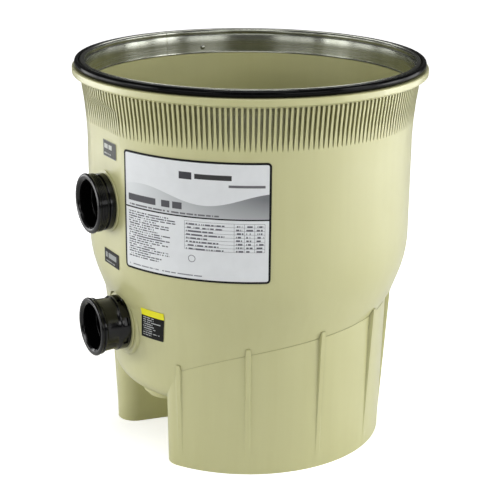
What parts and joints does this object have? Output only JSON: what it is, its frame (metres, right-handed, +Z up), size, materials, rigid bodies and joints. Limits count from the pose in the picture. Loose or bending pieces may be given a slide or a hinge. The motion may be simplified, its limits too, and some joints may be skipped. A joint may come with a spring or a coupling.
{
  "type": "cartridge filter tank bottom",
  "caption": "Open moulded tank with a steel-banded rim, ring seal, stepped skirt, side inlet and outlet fittings, internal manifold and drain plug.",
  "frame": {"origin": "on the tank's axis, at the level of the skirt's foot", "axes": "+Z up along the tank's axis; -Y the way both pipe fittings face"},
  "size_m": [0.535, 0.5405, 0.5915],
  "materials": {
    "cream_plastic": "satin moulded",
    "brushed_steel": "brushed along its length",
    "black_rubber": "smooth, lightly greased",
    "black_plastic": "satin moulded",
    "label_white": "satin printed film",
    "label_grey": "satin printed film",
    "label_black": "satin printed film",
    "label_yellow": "satin printed film"
  },
  "bodies": {
    "tank": {"tank_shell": "cream_plastic", "rim_band": "brushed_steel", "band_rivet": "brushed_steel", "inlet_bulkhead": "black_plastic", "inlet_spacer": "cream_plastic", "inlet_o_ring": "black_rubber", "inlet_washer": "black_rubber", "inlet_lock_nut": "black_plastic", "inlet_diffuser": "black_plastic", "outlet_bulkhead": "black_plastic", "outlet_spacer": "cream_plastic", "outlet_o_ring": "black_rubber", "outlet_washer": "black_rubber", "outlet_lock_nut": "black_plastic", "outlet_elbow": "black_plastic", "elbow_o_ring": "black_rubber", "rating_label": "label_white", "inlet_label": "label_grey", "outlet_label": "label_black", "notice_label": "label_yellow"},
    "lid_seal": {"tank_o_ring": "black_rubber"},
    "manifold": {"manifold_base": "black_plastic", "manifold_top": "black_plastic", "socket_o_ring_1": "black_rubber", "socket_o_ring_2": "black_rubber", "socket_o_ring_3": "black_rubber", "socket_o_ring_4": "black_rubber"},
    "plug_seal": {"drain_plug_o_ring": "black_rubber"},
    "plug": {"drain_plug": "cream_plastic"}
  },
  "joints": [
    {"name": "lid_seal_lift", "type": "slide", "parent": "tank", "child": "lid_seal", "axis": [0, 0, 1], "range_m": [0, 0.08]},
    {"name": "manifold_lift", "type": "slide", "parent": "tank", "child": "manifold", "axis": [0, 0, 1], "range_m": [0, 0.42]},
    {"name": "plug_travel", "type": "slide", "parent": "tank", "child": "plug_seal", "axis": [0, 0, -1], "range_m": [0, 0.0156]},
    {"name": "plug_turn", "type": "hinge", "parent": "plug_seal", "child": "plug", "pos_m": [0, -0.14, 0.08], "axis": [0, 0, -1], "range_deg": [0, 2520]}
  ],
  "couplings": [
    {"joint": "plug_travel", "follows": "plug_turn", "m_per_rad": 0.00035152}
  ]
}
